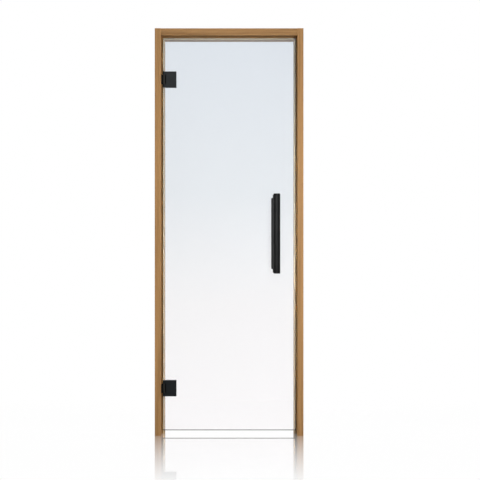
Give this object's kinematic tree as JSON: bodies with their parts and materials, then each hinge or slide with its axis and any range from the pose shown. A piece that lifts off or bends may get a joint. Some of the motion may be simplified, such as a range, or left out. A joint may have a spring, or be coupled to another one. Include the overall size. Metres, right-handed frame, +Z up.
{
  "type": "glass sauna door in a wooden frame",
  "caption": "Single sheet of clear safety glass hung on black clamp hinges in a rebated wooden frame without a threshold, with a long black grip bar on each face.",
  "frame": {"origin": "on the hinge jamb's outer side, at floor level, halfway through the frame's depth", "axes": "+X from the hinge jamb to the latch jamb, +Y from the outside to the warm room, +Z up"},
  "size_m": [0.69, 0.144, 1.89],
  "materials": {
    "frame_wood": "planed and oiled",
    "seal": "matt",
    "plated_screws": "plated",
    "hinge_black": "satin",
    "black_screws": "satin",
    "glass": "polished",
    "gasket": "matt",
    "pin_steel": "oiled",
    "handle_black": "satin",
    "handle_grey": "satin",
    "stud_steel": "plain",
    "sleeve": "matt"
  },
  "bodies": {
    "frame": {"hinge_jamb": "frame_wood", "latch_jamb": "frame_wood", "head_jamb": "frame_wood", "hinge_side_seal": "seal", "latch_side_seal": "seal", "head_seal": "seal", "corner_screws": "plated_screws", "upper_frame_leaf": "hinge_black", "lower_frame_leaf": "hinge_black", "upper_leaf_screws": "black_screws", "lower_leaf_screws": "black_screws"},
    "leaf": {"glass_pane": "glass", "upper_outer_plate": "hinge_black", "upper_inner_plate": "hinge_black", "upper_outer_gasket": "gasket", "upper_inner_gasket": "gasket", "upper_clamp_screws": "black_screws", "upper_hinge_pin": "pin_steel", "lower_outer_plate": "hinge_black", "lower_inner_plate": "hinge_black", "lower_outer_gasket": "gasket", "lower_inner_gasket": "gasket", "lower_clamp_screws": "black_screws", "lower_hinge_pin": "pin_steel", "outer_rail": "handle_grey", "outer_upper_post": "handle_black", "outer_lower_post": "handle_black", "outer_grip_bar": "handle_black", "outer_bar_caps": "handle_black", "inner_rail": "handle_grey", "inner_upper_post": "handle_black", "inner_lower_post": "handle_black", "inner_grip_bar": "handle_black", "inner_bar_caps": "handle_black", "rail_gaskets": "gasket", "handle_studs": "stud_steel", "stud_sleeves": "sleeve"}
  },
  "joints": [
    {"name": "door_swing", "type": "hinge", "parent": "frame", "child": "leaf", "pos_m": [0.04, -0.009, 0.9365], "axis": [0, 0, -1], "range_deg": [0, 90]}
  ]
}
